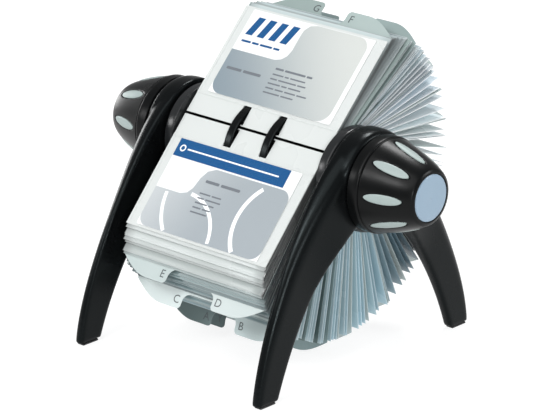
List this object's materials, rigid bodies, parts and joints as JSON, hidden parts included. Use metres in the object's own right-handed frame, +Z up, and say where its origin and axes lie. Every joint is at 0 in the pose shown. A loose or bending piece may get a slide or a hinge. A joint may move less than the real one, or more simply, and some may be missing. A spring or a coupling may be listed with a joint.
{
  "type": "rotary card file",
  "caption": "Desktop rotary card file: knob-turned wheel of clear card pockets and lettered index dividers between two arched side frames.",
  "frame": {"origin": "on the surface it stands on, under the middle of its overall box", "axes": "+X along the axle towards the right-hand knob, +Y away from the user, +Z up; -Y is the front, where the two open pages face"},
  "size_m": [0.2244, 0.1838, 0.183],
  "materials": {
    "black_plastic": "satin moulded plastic",
    "grey_plastic": "polished",
    "pale_inlay": "soft matt grip",
    "pale_cap": "satin",
    "black_rubber": "matt",
    "steel": "turned",
    "acetal": "natural",
    "clear_film": "thin clear film with a slight blue-green tint",
    "divider_plastic": "frosted",
    "card": "coated card"
  },
  "bodies": {
    "stand": {"front_left_foot_pad": "black_rubber", "front_right_foot_pad": "black_rubber", "left_bearing_bush": "acetal", "left_frame": "black_plastic", "rear_left_foot_pad": "black_rubber", "rear_right_foot_pad": "black_rubber", "right_bearing_bush": "acetal", "right_frame": "black_plastic"},
    "wheel": {"axle": "steel", "card_drum": "black_plastic", "index_divider_A": "divider_plastic", "index_divider_B": "divider_plastic", "index_divider_C": "divider_plastic", "index_divider_D": "divider_plastic", "index_divider_E": "divider_plastic", "index_divider_F": "divider_plastic", "index_divider_G": "divider_plastic", "index_divider_H": "divider_plastic", "index_divider_K": "divider_plastic", "index_divider_N": "divider_plastic", "index_divider_Q": "divider_plastic", "index_divider_T": "divider_plastic", "index_divider_W": "divider_plastic", "left_card_rail": "black_plastic", "left_end_cap": "pale_cap", "left_end_flange": "grey_plastic", "left_grip_insert": "pale_inlay", "left_knob": "black_plastic", "left_knob_screw": "steel", "left_knob_washer": "steel", "pocket_pack_A": "clear_film", "pocket_pack_B": "clear_film", "pocket_pack_C": "clear_film", "pocket_pack_D": "clear_film", "pocket_pack_E": "clear_film", "pocket_pack_F": "clear_film", "pocket_pack_G": "clear_film", "pocket_pack_H": "clear_film", "pocket_pack_K": "clear_film", "pocket_pack_N": "clear_film", "pocket_pack_Q": "clear_film", "pocket_pack_T": "clear_film", "pocket_pack_W": "clear_film", "pocket_pack_behind_upper_page": "clear_film", "right_card_rail": "black_plastic", "right_end_cap": "pale_cap", "right_end_flange": "grey_plastic", "right_grip_insert": "pale_inlay", "right_knob": "black_plastic", "right_knob_screw": "steel", "right_knob_washer": "steel"},
    "upper_page": {"upper_page_pocket": "clear_film"},
    "upper_card": {"upper_business_card": "card"},
    "lower_page": {"lower_page_pocket": "clear_film"},
    "lower_card": {"lower_business_card": "card"}
  },
  "joints": [
    {"name": "wheel_spin", "type": "hinge", "parent": "stand", "child": "wheel", "pos_m": [0, -0.00218, 0.1083], "axis": [1, 0, 0], "continuous": true},
    {"name": "upper_page_flip", "type": "hinge", "parent": "wheel", "child": "upper_page", "pos_m": [0, -0.02003, 0.12494], "axis": [1, 0, 0], "range_deg": [0, 178]},
    {"name": "upper_card_slide", "type": "slide", "parent": "upper_page", "child": "upper_card", "axis": [0, 0.6972, 0.7169], "range_m": [0, 0.06]},
    {"name": "lower_page_flip", "type": "hinge", "parent": "wheel", "child": "lower_page", "pos_m": [0, -0.02003, 0.12494], "axis": [1, 0, 0], "range_deg": [-178, 0]},
    {"name": "lower_card_slide", "type": "slide", "parent": "lower_page", "child": "lower_card", "axis": [0, -0.6691, -0.7431], "range_m": [0, 0.06]}
  ]
}
